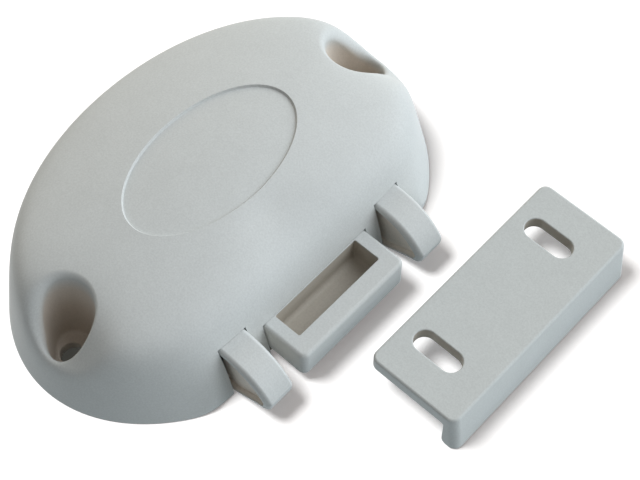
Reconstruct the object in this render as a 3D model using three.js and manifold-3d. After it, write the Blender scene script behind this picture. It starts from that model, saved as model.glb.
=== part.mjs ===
// Push-button lock: a domed casing with two sprung claws and a push button, and the keeper that they hold.
// Millimetres, +Z up. The mounting face is z = 0 and the origin lies midway between the two mounting screws.
// The front, where the claws come out, faces -Y.
import * as THREE from 'three';
import { mergeVertices } from 'three/addons/utils/BufferGeometryUtils.js';
import Module from 'manifold-3d';

// Clearances
const SLIDE_GAP = 0.3; // around pieces that slide
const SEAT_GAP = 0.1; // under pieces that are screwed down
const NOTCH_GAP = 0.5; // round the claws and the button in the front wall

// Casing
const CASING_LENGTH = 105; // along X
const CASING_DEPTH = 66.2; // along Y
const CASING_HEIGHT = 26.3; // at the crest
const CASING_WALL = 2;
const FRONT_CUT = 8.2; // how much of the full ellipse the straight front edge cuts off
const OUTLINE_CORNER = 40; // exponent: higher is a sharper front corner
const END_STEEPNESS = 5.4; // rise of the wall per mm inward
const BACK_STEEPNESS = 7.3;
const CORNER_STEEPNESS = 1.7; // towards the front corners
const FRONT_STEEPNESS = 4.8; // of the straight front wall
const STEEPNESS_TURN = 1.5; // exponent of the change from the ends to the front and back
const CROWN_SHARE = 0.4; // share of the outline over which the walls pull the crown down less and less
const SHOULDER_SHARPNESS = 4; // exponent: higher is a tighter shoulder
const END_DROP = 5.8; // fall of the crown from the crest to the edge
const FRONT_DROP = 7.1;
const BACK_DROP = 6.9;
const OVAL_LENGTH = 44; // shallow oval on the crown
const OVAL_WIDTH = 24.6;
const OVAL_SETBACK = 31.1; // from the front edge to its middle, which is the crest
const OVAL_DEPTH = 0.6;

// Screw wells
const WELL_SPACING = 87.2;
const WELL_SETBACK = 30; // from the front edge to the line of the screws
const WELL_RADIUS = 5.3; // at the floor
const WELL_DRAFT = 0.09; // growth of the radius per mm of height
const WELL_FLOOR = 2.5;
const SCOOP_FLOOR = 9.9; // the crown dips towards the wells, to this height outside them
const SCOOP_START = 47.3; // distance from the middle at which it starts to rise inward
const SCOOP_RISE = 2; // per mm inward
const SCOOP_SOFTNESS = 3; // mm over which that rise begins
const SCOOP_SHIFT = 4; // of its lowest line, towards the front
const SCOOP_BOW = 20; // mm of squared distance to that line per mm of rise
const SCOOP_SHARPNESS = 6;
const WELL_WALL = 1.6;
const WELL_HOLE_RADIUS = 2.5;

// Back plate and its screws
const PLATE_THICKNESS = 2;
const RIB_HEIGHT = 4.4; // of the guide ribs above the plate
const RIB_THICKNESS = 2;
const BOSS_RADIUS = 3;
const BACK_BOSS_X = 33;
const BACK_BOSS_Y = 17;
const FRONT_BOSS_X = 36;
const FRONT_BOSS_Y = -13;
const SCREW_RADIUS = 1;
const SCREW_HEAD_RADIUS = 2.1;
const SCREW_HEAD_HEIGHT = 1;
const SCREW_HOLE_GAP = 0.2;
const SCREW_SKIN = 1; // left under the end of a blind screw hole
const BACK_SCREW_LENGTH = 8;

// Travel of the button and the claws
const TRAVEL = 7;

// Push button
const BUTTON_WIDTH = 30.8;
const BUTTON_REACH = 8.9; // in front of the front edge
const BUTTON_BOTTOM = 2.5;
const BUTTON_TOP = 10.5;
const BUTTON_CORNER = 1.6;
const BUTTON_BACK = 6; // behind the front edge
const POCKET_LENGTH = 24.2;
const POCKET_FRONT = 4.5; // in front of the front edge
const POCKET_BACK = 2.2; // behind the front edge
const POCKET_FLOOR = 4;
const TONGUE_WIDTH = 16;
const EAR_WIDTH = 2; // stop ears at the sides of the button
const EAR_DEPTH = 2;
const EAR_SETBACK = 4; // from the front edge to the front of the ears
const EAR_TOP = 7;

// Claws
const CLAW_WIDTH = 7.3;
const CLAW_SPACING = 46.1; // middle to middle
const CLAW_REACH = 9.9;
const CLAW_ROOT_TOP = 14;
const CLAW_ROOT_FRONT = 2.6; // where the ramp starts, behind the front edge
const CLAW_ROOT_BACK = 4.6;
const CLAW_TIP_TOP = 7.4;
const CLAW_TIP_BOTTOM = 4;
const CLAW_TIP_SETBACK = 1.8; // of the lower edge of the tip
const CLAW_ROOT_BOTTOM = 0.8;
const CLAW_BEND = 0.6; // where the ramp bends most, as a share of the reach
const CLAW_RIM = 1.6; // rim round the hollow in each side
const CLAW_TIP_RIM = 2.6; // the same at the tip
const CLAW_HOLLOW = 1.2; // depth of that hollow
const CLAW_EAR = 1.5;

// Slide pieces behind the front wall
const SHANK_HEIGHT = 6;
const TAIL_HEIGHT = 4; // of the tongue and the claw tails
const TAIL_END = 30; // behind the front edge
const BAR_FRONT = 11.5; // draw bar, behind the front edge
const BAR_DEPTH = 4.2;
const BAR_THICKNESS = 2.4;
const BAR_SCREW_SPACING = 10;
const LUG_DEPTH = 2;
const BRIDGE_FRONT = 26.5;
const BRIDGE_DEPTH = 3.5;
const BRIDGE_THICKNESS = 2.2;
const BRIDGE_SCREW_SPACING = 5.4; // of the two screws between the tongue and a claw

// Springs and the rods inside them
const SPRING_LENGTH = 13.4;
const SPRING_RADIUS = 1.65; // to the middle of the wire
const SPRING_WIRE = 0.6; // diameter
const SPRING_CURLS = 7;
const ROD_RADIUS = 0.9;
const ROD_ENTRY = 3; // into the tail at rest
const ROD_END_GAP = 1; // at the end of the bore with the tail drawn in
const SOCKET_DEPTH = 2.8; // of the rod in its stop
const STOP_DEPTH = 3.5;
const STOP_WIDTH = 7;
const STOP_HEIGHT = 5.5; // above the plate

// Keeper
const KEEPER_LENGTH = 55.9;
const KEEPER_WIDTH = 23.4;
const KEEPER_HEIGHT = 11.3;
const KEEPER_PLATE = 3.4;
const KEEPER_LIP = 4;
const KEEPER_LEAN = 1.4; // of the lip's outer face, from foot to top
const KEEPER_CORNER = 2;
const KEEPER_ROUNDING = 1; // of the top edge over the lip
const KEEPER_X = 21.5; // middle
const KEEPER_GAP = 18.3; // from the front edge of the casing to the keeper
const SLOT_SPACING = 35.4;
const SLOT_SETBACK = 9.2; // from the near edge to the middle of the slots
const SLOT_WIDTH = 5;
const SLOT_LENGTH = 11.6;

// Facets
const CIRCLE_SIDES = 24;
const SMALL_SIDES = 12;
const DOME_SIDES = 96;
const DOME_RINGS = 15;
const CAVITY_SIDES = 56;
const CAVITY_RINGS = 7;
const SECTOR_CROWDING = 0.4; // sectors crowd towards the ends
const CENTRE_STEP = 0.01; // how far beside the centre the top of the dome is measured
const RING_CROWDING = 2; // rings crowd towards the edge
const CURL_STEPS = 8;
const WIRE_SIDES = 5;
const PAST = 2; // how far cutting solids run past what they cut
const LAP = 1; // how far joined solids run into each other

// Places worked out from the sizes above
const FRONT_Y = -WELL_SETBACK;
const BACK_Y = FRONT_Y + CASING_DEPTH;
const OUTLINE_HALF_DEPTH = (CASING_DEPTH + FRONT_CUT) / 2;
const OUTLINE_Y = BACK_Y - OUTLINE_HALF_DEPTH;
const OVAL_Y = FRONT_Y + OVAL_SETBACK;
const SLIDE_Z = PLATE_THICKNESS + SLIDE_GAP;
const SHANK_TOP = SLIDE_Z + SHANK_HEIGHT;
const TAIL_TOP = SLIDE_Z + TAIL_HEIGHT;
const ROD_Z = SLIDE_Z + TAIL_HEIGHT / 2;
const BAR_Z = SHANK_TOP + SLIDE_GAP;
const BAR_BACK = BAR_FRONT + BAR_DEPTH;
const LUG_FRONT = BAR_BACK + SLIDE_GAP;
const LUG_TOP = BAR_Z + BAR_THICKNESS;
const RIB_TOP = PLATE_THICKNESS + RIB_HEIGHT;
const BRIDGE_Z = Math.max(RIB_TOP + SEAT_GAP, TAIL_TOP + SEAT_GAP);
const CLAW_X = CLAW_SPACING / 2;
const TAIL_Y = FRONT_Y + TAIL_END;
const SPRING_Y = TAIL_Y + SLIDE_GAP;
const STOP_Y = SPRING_Y + SPRING_LENGTH + SLIDE_GAP;
const RIB_BACK = TAIL_Y + SLIDE_GAP;
const BAR_Y = FRONT_Y + BAR_FRONT + BAR_DEPTH / 2;
const BRIDGE_Y = FRONT_Y + BRIDGE_FRONT + BRIDGE_DEPTH / 2;
const TONGUE_SIDE = TONGUE_WIDTH / 2 + SLIDE_GAP;
const CLAW_INNER = CLAW_X - CLAW_WIDTH / 2 - SLIDE_GAP;
const CLAW_OUTER = CLAW_X + CLAW_WIDTH / 2 + SLIDE_GAP;
const BRIDGE_HALF = CLAW_OUTER + RIB_THICKNESS;
const SCREW_HOLE = SCREW_RADIUS + SCREW_HOLE_GAP;
const EAR_BACK = EAR_SETBACK + EAR_DEPTH;

const wasm = await Module();
wasm.setup();

// Front-edge distances become Y: ahead is positive in front of the casing.
const ahead = (distance) => FRONT_Y - distance;

function toSolid(geometry) {
  geometry.deleteAttribute('normal');
  geometry.deleteAttribute('uv');
  const merged = mergeVertices(geometry, 1e-5);
  const vertProperties = new Float32Array(merged.attributes.position.array);
  const triVerts = new Uint32Array(merged.index.array);
  return new wasm.Manifold(new wasm.Mesh({ numProp: 3, vertProperties, triVerts }));
}

function block(x0, x1, y0, y1, z0, z1) {
  const geometry = new THREE.BoxGeometry(x1 - x0, y1 - y0, z1 - z0);
  geometry.translate((x0 + x1) / 2, (y0 + y1) / 2, (z0 + z1) / 2);
  return toSolid(geometry);
}

function uprightCylinder(x, y, z0, z1, radius, sides = CIRCLE_SIDES, topRadius = radius) {
  const geometry = new THREE.CylinderGeometry(topRadius, radius, z1 - z0, sides);
  geometry.rotateX(Math.PI / 2);
  geometry.translate(x, y, (z0 + z1) / 2);
  return toSolid(geometry);
}

function levelCylinder(x, z, y0, y1, radius, sides = SMALL_SIDES) {
  const geometry = new THREE.CylinderGeometry(radius, radius, y1 - y0, sides);
  geometry.translate(x, (y0 + y1) / 2, z);
  return toSolid(geometry);
}

function prism(shape, z0, z1, curveSegments = 6) {
  const geometry = new THREE.ExtrudeGeometry(shape, { depth: z1 - z0, bevelEnabled: false, curveSegments });
  geometry.translate(0, 0, z0);
  return toSolid(geometry);
}

// A profile drawn as (distance ahead of the front edge, height), as thick as width and centred on x.
function sideProfile(shape, x, width, curveSegments = 8) {
  const geometry = new THREE.ExtrudeGeometry(shape, { depth: width, bevelEnabled: false, curveSegments });
  const turn = new THREE.Matrix4().makeBasis(
    new THREE.Vector3(0, -1, 0),
    new THREE.Vector3(0, 0, 1),
    new THREE.Vector3(-1, 0, 0),
  );
  geometry.applyMatrix4(turn);
  geometry.translate(x + width / 2, FRONT_Y, 0);
  return toSolid(geometry);
}

function roundedRectangle(x0, x1, y0, y1, radius) {
  const shape = new THREE.Shape();
  shape.moveTo(x0 + radius, y0);
  shape.lineTo(x1 - radius, y0);
  shape.absarc(x1 - radius, y0 + radius, radius, -Math.PI / 2, 0, false);
  shape.lineTo(x1, y1 - radius);
  shape.absarc(x1 - radius, y1 - radius, radius, 0, Math.PI / 2, false);
  shape.lineTo(x0 + radius, y1);
  shape.absarc(x0 + radius, y1 - radius, radius, Math.PI / 2, Math.PI, false);
  shape.lineTo(x0, y0 + radius);
  shape.absarc(x0 + radius, y0 + radius, radius, Math.PI, 1.5 * Math.PI, false);
  return shape;
}

// How far the casing's outline, moved in by inset, lies from its middle in the direction (dx, dy).
function outlineRadius(dx, dy, inset) {
  const ellipse = Math.hypot(dx / (CASING_LENGTH / 2 - inset), dy / (OUTLINE_HALF_DEPTH - inset));
  const front = Math.max(0, -dy) / (OUTLINE_Y - FRONT_Y - inset);
  return 1 / (ellipse ** OUTLINE_CORNER + front ** OUTLINE_CORNER) ** (1 / OUTLINE_CORNER);
}

// Height of the dome, moved in by inset, at a point of the plan: the crown, the leaning walls and the dips
// at the wells meet in rounded shoulders.
function domeHeight(x, y, inset) {
  const across = x / (CASING_LENGTH / 2 - inset);
  const along = (y - OUTLINE_Y) / (OUTLINE_HALF_DEPTH - inset);
  const share = Math.hypot(across, along);
  const turn = (Math.abs(along) / share) ** STEEPNESS_TURN;
  const far = along > 0 ? BACK_STEEPNESS : CORNER_STEEPNESS;
  const steepness = END_STEEPNESS + (far - END_STEEPNESS) * turn;
  const calm = Math.min(1, share / CROWN_SHARE);
  const pull = calm * calm * (3 - 2 * calm);
  const side = (steepness * Math.hypot(x, y - OUTLINE_Y) * (1 / share - 1)) / pull;
  const front = FRONT_STEEPNESS * (y - FRONT_Y - inset);
  const length = y < OVAL_Y ? OVAL_Y - FRONT_Y : BACK_Y - OVAL_Y;
  const drop = y < OVAL_Y ? FRONT_DROP : BACK_DROP;
  const endFall = END_DROP * (x / (CASING_LENGTH / 2)) ** 2;
  const crown = CASING_HEIGHT - inset - endFall - drop * ((y - OVAL_Y) / length) ** 2;
  const inward = SCOOP_START - Math.abs(x);
  const rise = (SCOOP_RISE * (inward + Math.hypot(inward, SCOOP_SOFTNESS))) / 2;
  const scoop = SCOOP_FLOOR - inset + rise + (y + SCOOP_SHIFT) ** 2 / SCOOP_BOW;
  return roundedLeast([roundedLeast([side, front, crown], SHOULDER_SHARPNESS), scoop], SCOOP_SHARPNESS);
}

function roundedLeast(heights, sharpness) {
  if (Math.min(...heights) <= 0) return 0;
  return heights.reduce((sum, height) => sum + height ** -sharpness, 0) ** (-1 / sharpness);
}

// The dome as a closed solid whose foot runs down to -below.
function domeSolid(inset, below, sectors, rings) {
  const positions = [];
  const index = [];
  const at = (ring, sector) => 1 + (ring - 1) * sectors + (sector % sectors);
  positions.push(0, OUTLINE_Y, domeHeight(0, OUTLINE_Y + CENTRE_STEP, inset));
  for (let ring = 1; ring <= rings + 1; ring += 1) {
    const t = ring > rings ? 1 : 1 - (1 - ring / rings) ** RING_CROWDING;
    for (let sector = 0; sector < sectors; sector += 1) {
      const even = (2 * Math.PI * sector) / sectors;
      const angle = even - (SECTOR_CROWDING * Math.sin(2 * even)) / 2;
      const dx = Math.cos(angle);
      const dy = Math.sin(angle);
      const x = dx * outlineRadius(dx, dy, inset) * t;
      const y = OUTLINE_Y + dy * outlineRadius(dx, dy, inset) * t;
      const height = t < 1 ? domeHeight(x, y, inset) : 0;
      positions.push(x, y, ring > rings ? -below : height);
    }
  }
  const last = below > 0 ? rings + 1 : rings;
  const foot = positions.length / 3;
  positions.push(0, OUTLINE_Y, -below);
  for (let sector = 0; sector < sectors; sector += 1) {
    index.push(0, at(1, sector), at(1, sector + 1));
    for (let ring = 1; ring < last; ring += 1) {
      index.push(at(ring, sector), at(ring + 1, sector), at(ring + 1, sector + 1));
      index.push(at(ring, sector), at(ring + 1, sector + 1), at(ring, sector + 1));
    }
    index.push(foot, at(last, sector + 1), at(last, sector));
  }
  const geometry = new THREE.BufferGeometry();
  geometry.setAttribute('position', new THREE.Float32BufferAttribute(positions, 3));
  geometry.setIndex(index);
  return toSolid(geometry.toNonIndexed());
}

const outerDome = () => domeSolid(0, 0, DOME_SIDES, DOME_RINGS);
const bossPlaces = [
  [-BACK_BOSS_X, BACK_BOSS_Y],
  [BACK_BOSS_X, BACK_BOSS_Y],
  [-FRONT_BOSS_X, FRONT_BOSS_Y],
  [FRONT_BOSS_X, FRONT_BOSS_Y],
];
const wellPlaces = [-WELL_SPACING / 2, WELL_SPACING / 2];
const clawPlaces = [-CLAW_X, CLAW_X];
const springPlaces = [-CLAW_X, 0, CLAW_X];

function wellCutter(x) {
  const height = CASING_HEIGHT + PAST;
  const topRadius = WELL_RADIUS + WELL_DRAFT * (height - WELL_FLOOR);
  const well = uprightCylinder(x, 0, WELL_FLOOR, height, WELL_RADIUS, CIRCLE_SIDES, topRadius);
  return well.add(uprightCylinder(x, 0, -PAST, WELL_FLOOR + LAP, WELL_HOLE_RADIUS));
}

function ovalCutter() {
  const shape = new THREE.Shape();
  shape.absellipse(0, OVAL_Y, OVAL_LENGTH / 2, OVAL_WIDTH / 2, 0, 2 * Math.PI, false, 0);
  const column = prism(shape, CASING_HEIGHT / 2, CASING_HEIGHT + PAST, 2 * CIRCLE_SIDES);
  return column.subtract(outerDome().translate(0, 0, -OVAL_DEPTH));
}

function casing() {
  let inside = domeSolid(CASING_WALL, PAST, CAVITY_SIDES, CAVITY_RINGS);
  for (const x of wellPlaces) {
    const radius = WELL_RADIUS + WELL_WALL;
    const topRadius = radius + WELL_DRAFT * (CASING_HEIGHT - WELL_FLOOR);
    inside = inside.subtract(uprightCylinder(x, 0, 0, CASING_HEIGHT, radius, CIRCLE_SIDES, topRadius));
  }
  const bossFoot = PLATE_THICKNESS + SEAT_GAP;
  for (const [x, y] of bossPlaces) {
    inside = inside.subtract(uprightCylinder(x, y, bossFoot, CASING_HEIGHT, BOSS_RADIUS, SMALL_SIDES));
  }
  let body = outerDome().subtract(inside);
  for (const x of wellPlaces) body = body.subtract(wellCutter(x));
  for (const [x, y] of bossPlaces) {
    body = body.subtract(uprightCylinder(x, y, 0, BACK_SCREW_LENGTH + PAST, SCREW_HOLE, SMALL_SIDES));
  }
  const clawHalf = CLAW_WIDTH / 2 + NOTCH_GAP;
  const clawBack = ahead(-(CLAW_ROOT_BACK + TRAVEL + NOTCH_GAP));
  const clawTop = CLAW_ROOT_TOP + NOTCH_GAP;
  for (const x of clawPlaces) {
    body = body.subtract(block(x - clawHalf, x + clawHalf, FRONT_Y - PAST, clawBack, -PAST, clawTop));
  }
  const half = BUTTON_WIDTH / 2 + NOTCH_GAP;
  const buttonBack = ahead(-(BUTTON_BACK + TRAVEL + NOTCH_GAP));
  body = body.subtract(block(-half, half, FRONT_Y - PAST, buttonBack, -PAST, BUTTON_TOP + NOTCH_GAP));
  return body.subtract(ovalCutter());
}

function guideRibs() {
  const front = ahead(-(Math.max(EAR_BACK, BUTTON_BACK) + TRAVEL + SLIDE_GAP));
  const spans = [
    [TONGUE_SIDE, TONGUE_SIDE + RIB_THICKNESS, front],
    [CLAW_INNER - RIB_THICKNESS, CLAW_INNER, front],
    [CLAW_OUTER, BRIDGE_HALF, front],
    [TONGUE_SIDE, CLAW_INNER, ahead(-BRIDGE_FRONT)],
  ];
  const ribs = [];
  for (const [x0, x1, y0] of spans) {
    ribs.push(block(x0, x1, y0, RIB_BACK, PLATE_THICKNESS / 2, RIB_TOP));
    ribs.push(block(-x1, -x0, y0, RIB_BACK, PLATE_THICKNESS / 2, RIB_TOP));
  }
  return wasm.Manifold.union(ribs);
}

function backPlate() {
  const slab = block(-CASING_LENGTH, CASING_LENGTH, FRONT_Y, BACK_Y, 0, PLATE_THICKNESS);
  let plate = domeSolid(CASING_WALL + SLIDE_GAP, 0, CAVITY_SIDES, CAVITY_RINGS).intersect(slab);
  plate = plate.add(guideRibs());
  const stopTop = PLATE_THICKNESS + STOP_HEIGHT;
  const stopHalf = STOP_WIDTH / 2;
  const stopBack = STOP_Y + STOP_DEPTH;
  const socket = ROD_RADIUS + SEAT_GAP;
  for (const x of springPlaces) {
    plate = plate.add(block(x - stopHalf, x + stopHalf, STOP_Y, stopBack, PLATE_THICKNESS / 2, stopTop));
    plate = plate.subtract(levelCylinder(x, ROD_Z, STOP_Y - PAST, STOP_Y + SOCKET_DEPTH, socket));
  }
  const above = PLATE_THICKNESS + PAST;
  for (const x of wellPlaces) {
    plate = plate.subtract(uprightCylinder(x, 0, -PAST, above, WELL_RADIUS + WELL_WALL + SLIDE_GAP));
  }
  const headRoom = SCREW_HEAD_RADIUS + SCREW_HOLE_GAP;
  for (const [x, y] of bossPlaces) {
    plate = plate.subtract(uprightCylinder(x, y, -PAST, above, SCREW_HOLE, SMALL_SIDES));
    const seat = SCREW_HEAD_HEIGHT + 2 * SEAT_GAP;
    plate = plate.subtract(uprightCylinder(x, y, -PAST, seat, headRoom, SMALL_SIDES));
  }
  for (const x of bridgeScrewPlaces()) {
    plate = plate.subtract(uprightCylinder(x, BRIDGE_Y, SCREW_SKIN, RIB_TOP + PAST, SCREW_HOLE, SMALL_SIDES));
  }
  const slotHalf = CLAW_WIDTH / 2 + NOTCH_GAP;
  const slotBack = ahead(-(CLAW_ROOT_FRONT + TRAVEL + NOTCH_GAP));
  for (const x of clawPlaces) {
    plate = plate.subtract(block(x - slotHalf, x + slotHalf, FRONT_Y - PAST, slotBack, -PAST, SLIDE_Z));
  }
  return plate;
}

function bridgeScrewPlaces() {
  const middle = (TONGUE_SIDE + CLAW_INNER) / 2;
  const inner = middle - BRIDGE_SCREW_SPACING / 2;
  const outer = middle + BRIDGE_SCREW_SPACING / 2;
  return [-outer, -inner, inner, outer];
}

function guideBridge() {
  const front = ahead(-BRIDGE_FRONT);
  const top = BRIDGE_Z + BRIDGE_THICKNESS;
  let bridge = block(-BRIDGE_HALF, BRIDGE_HALF, front, front + BRIDGE_DEPTH, BRIDGE_Z, top);
  for (const x of bridgeScrewPlaces()) {
    const hole = uprightCylinder(x, BRIDGE_Y, BRIDGE_Z - PAST, top + PAST, SCREW_HOLE, SMALL_SIDES);
    bridge = bridge.subtract(hole);
  }
  return bridge;
}

// A screw whose head sits over the height seat (headUp) or under it, and whose shank runs the other way.
function screw(x, y, seat, length, headUp) {
  const way = headUp ? 1 : -1;
  const headEnds = [seat, seat + way * SCREW_HEAD_HEIGHT].sort((p, q) => p - q);
  const shankEnds = [seat + (way * SCREW_HEAD_HEIGHT) / 2, seat - way * length].sort((p, q) => p - q);
  const head = uprightCylinder(x, y, headEnds[0], headEnds[1], SCREW_HEAD_RADIUS, SMALL_SIDES);
  return head.add(uprightCylinder(x, y, shankEnds[0], shankEnds[1], SCREW_RADIUS, SMALL_SIDES));
}

function pushButton() {
  const half = BUTTON_WIDTH / 2;
  const outline = roundedRectangle(-half, half, ahead(BUTTON_REACH), ahead(-BUTTON_BACK), BUTTON_CORNER);
  let button = prism(outline, BUTTON_BOTTOM, BUTTON_TOP);
  const ear = half + EAR_WIDTH;
  button = button.add(block(-ear, ear, ahead(-EAR_SETBACK), ahead(-EAR_BACK), BUTTON_BOTTOM, EAR_TOP));
  const tongue = TONGUE_WIDTH / 2;
  button = button.add(block(-tongue, tongue, ahead(LAP - BUTTON_BACK), TAIL_Y, BUTTON_BOTTOM, TAIL_TOP));
  const padTop = BAR_Z - SEAT_GAP;
  button = button.add(block(-tongue, tongue, ahead(-BAR_FRONT), ahead(-BAR_BACK), BUTTON_BOTTOM, padTop));
  const pocket = POCKET_LENGTH / 2;
  const pocketFront = ahead(POCKET_FRONT);
  const pocketBack = ahead(-POCKET_BACK);
  button = button.subtract(block(-pocket, pocket, pocketFront, pocketBack, POCKET_FLOOR, BUTTON_TOP + PAST));
  const holeEnd = BUTTON_BOTTOM + SCREW_SKIN;
  for (const x of barScrewPlaces()) {
    button = button.subtract(uprightCylinder(x, BAR_Y, holeEnd, padTop + PAST, SCREW_HOLE, SMALL_SIDES));
  }
  return button.subtract(rodBore(0));
}

function barScrewPlaces() {
  return [-BAR_SCREW_SPACING / 2, BAR_SCREW_SPACING / 2];
}

// The bore in a tail that runs over its spring rod through the whole travel.
function rodBore(x) {
  const depth = ROD_ENTRY + TRAVEL + ROD_END_GAP;
  return levelCylinder(x, ROD_Z, TAIL_Y - depth, TAIL_Y + PAST, ROD_RADIUS + SLIDE_GAP);
}

function drawBar() {
  const half = CLAW_X + CLAW_WIDTH / 2 - SLIDE_GAP;
  const top = BAR_Z + BAR_THICKNESS;
  let bar = block(-half, half, ahead(-BAR_FRONT), ahead(-BAR_BACK), BAR_Z, top);
  for (const x of barScrewPlaces()) {
    bar = bar.subtract(uprightCylinder(x, BAR_Y, BAR_Z - PAST, top + PAST, SCREW_HOLE, SMALL_SIDES));
  }
  return bar;
}

// The beak in front of the wall: a convex ramp over a rounded tip and a lower edge that rises outwards.
function beakShape(rim, tipRim) {
  const tip = CLAW_REACH - tipRim;
  const shape = new THREE.Shape();
  shape.moveTo(-CLAW_ROOT_FRONT, CLAW_ROOT_BOTTOM + rim);
  shape.lineTo(0, CLAW_ROOT_BOTTOM + rim);
  shape.lineTo(tip - CLAW_TIP_SETBACK, CLAW_TIP_BOTTOM + rim / 2);
  shape.quadraticCurveTo(tip, CLAW_TIP_BOTTOM + rim, tip, CLAW_TIP_TOP - rim / 2);
  const top = CLAW_ROOT_TOP - rim;
  shape.quadraticCurveTo(CLAW_REACH * CLAW_BEND - rim, top, -CLAW_ROOT_FRONT, top);
  shape.closePath();
  return shape;
}

function claw(x) {
  const half = CLAW_WIDTH / 2;
  const rootFront = ahead(LAP - CLAW_ROOT_FRONT);
  const lugFront = ahead(-LUG_FRONT);
  const lugBack = lugFront + LUG_DEPTH;
  const ear = half + CLAW_EAR;
  let body = sideProfile(beakShape(0, 0), x, CLAW_WIDTH);
  body = body.add(block(x - half, x + half, rootFront, ahead(-CLAW_ROOT_BACK), SLIDE_Z, CLAW_ROOT_TOP));
  body = body.add(block(x - half, x + half, rootFront, lugBack, SLIDE_Z, SHANK_TOP));
  body = body.add(block(x - half, x + half, lugFront, lugBack, SLIDE_Z, LUG_TOP));
  body = body.add(block(x - half, x + half, lugFront, TAIL_Y, SLIDE_Z, TAIL_TOP));
  body = body.add(block(x - ear, x + ear, ahead(-EAR_SETBACK), ahead(-EAR_BACK), SLIDE_Z, EAR_TOP));
  for (const side of [-1, 1]) {
    const middle = x + side * (half + PAST / 2 - CLAW_HOLLOW);
    body = body.subtract(sideProfile(beakShape(CLAW_RIM, CLAW_TIP_RIM), middle, PAST));
  }
  return body.subtract(rodBore(x));
}

// One unbroken wire wound round the rod, with short straight ends.
function spring(x) {
  const count = SPRING_CURLS * CURL_STEPS;
  const wire = SPRING_WIRE / 2;
  const winding = SPRING_LENGTH - 2 * SPRING_WIRE;
  const path = [];
  for (let step = 0; step <= count; step += 1) {
    const angle = (2 * Math.PI * step) / CURL_STEPS;
    const y = SPRING_Y + SPRING_WIRE + (winding * step) / count;
    const dx = SPRING_RADIUS * Math.cos(angle);
    const dz = SPRING_RADIUS * Math.sin(angle);
    path.push(new THREE.Vector3(x + dx, y, ROD_Z + dz));
  }
  path.unshift(path[0].clone().setY(SPRING_Y));
  path.push(path[path.length - 1].clone().setY(SPRING_Y + SPRING_LENGTH));
  let least = Infinity;
  path.forEach((p, i) => path.forEach((q, j) => {
    if (j - i > CURL_STEPS / 2) least = Math.min(least, p.distanceTo(q) - SPRING_WIRE);
  }));
  console.log(`spring at x ${x}: least gap between curls ${least.toFixed(2)} mm`);
  return wireSolid(path, wire, x);
}

function wireSolid(path, wire, x) {
  const positions = [];
  const index = [];
  path.forEach((point, i) => {
    const before = path[Math.max(i - 1, 0)];
    const after = path[Math.min(i + 1, path.length - 1)];
    const along = after.clone().sub(before).normalize();
    const out = new THREE.Vector3(point.x - x, 0, point.z - ROD_Z).normalize();
    const across = new THREE.Vector3().crossVectors(along, out).normalize();
    for (let side = 0; side < WIRE_SIDES; side += 1) {
      const angle = (2 * Math.PI * side) / WIRE_SIDES;
      const offset = out.clone().multiplyScalar(wire * Math.cos(angle));
      offset.addScaledVector(across, wire * Math.sin(angle));
      positions.push(...point.clone().add(offset).toArray());
    }
  });
  const at = (ring, side) => ring * WIRE_SIDES + (side % WIRE_SIDES);
  for (let ring = 0; ring < path.length - 1; ring += 1) {
    for (let side = 0; side < WIRE_SIDES; side += 1) {
      index.push(at(ring, side), at(ring, side + 1), at(ring + 1, side + 1));
      index.push(at(ring, side), at(ring + 1, side + 1), at(ring + 1, side));
    }
  }
  for (let side = 1; side < WIRE_SIDES - 1; side += 1) {
    index.push(at(0, 0), at(0, side + 1), at(0, side));
    const last = path.length - 1;
    index.push(at(last, 0), at(last, side), at(last, side + 1));
  }
  const geometry = new THREE.BufferGeometry();
  geometry.setAttribute('position', new THREE.Float32BufferAttribute(positions, 3));
  geometry.setIndex(index);
  return toSolid(geometry.toNonIndexed());
}

function springRod(x) {
  return levelCylinder(x, ROD_Z, TAIL_Y - ROD_ENTRY, STOP_Y + SOCKET_DEPTH - SEAT_GAP, ROD_RADIUS);
}

function slotCutter(x, y, z0, z1) {
  const half = SLOT_WIDTH / 2;
  const end = SLOT_LENGTH / 2 - half;
  const slot = block(x - half, x + half, y - end, y + end, z0, z1);
  return slot.add(uprightCylinder(x, y - end, z0, z1, half)).add(uprightCylinder(x, y + end, z0, z1, half));
}

function keeper() {
  const x0 = KEEPER_X - KEEPER_LENGTH / 2;
  const x1 = KEEPER_X + KEEPER_LENGTH / 2;
  const near = ahead(KEEPER_GAP);
  const far = near - KEEPER_WIDTH;
  const underside = KEEPER_HEIGHT - KEEPER_PLATE;
  const above = KEEPER_HEIGHT + PAST;
  let body = prism(roundedRectangle(x0, x1, far, near, KEEPER_CORNER), 0, KEEPER_HEIGHT);
  body = body.subtract(block(x0 - PAST, x1 + PAST, far + KEEPER_LIP, near + PAST, -PAST, underside));
  const reach = KEEPER_GAP + KEEPER_WIDTH;
  const lean = KEEPER_LEAN / KEEPER_HEIGHT;
  const edge = reach - KEEPER_LEAN;
  const front = new THREE.Shape();
  front.moveTo(reach + lean * PAST, -PAST);
  front.lineTo(edge + lean * KEEPER_ROUNDING, KEEPER_HEIGHT - KEEPER_ROUNDING);
  front.quadraticCurveTo(edge, KEEPER_HEIGHT, edge - KEEPER_ROUNDING, KEEPER_HEIGHT);
  front.lineTo(edge - KEEPER_ROUNDING, above);
  front.lineTo(reach + PAST, above);
  front.lineTo(reach + PAST, -PAST);
  front.closePath();
  body = body.subtract(sideProfile(front, KEEPER_X, KEEPER_LENGTH + 2 * PAST));
  for (const side of [-1, 1]) {
    const x = KEEPER_X + (side * SLOT_SPACING) / 2;
    body = body.subtract(slotCutter(x, near - SLOT_SETBACK, underside - PAST, above));
  }
  return body;
}

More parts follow.
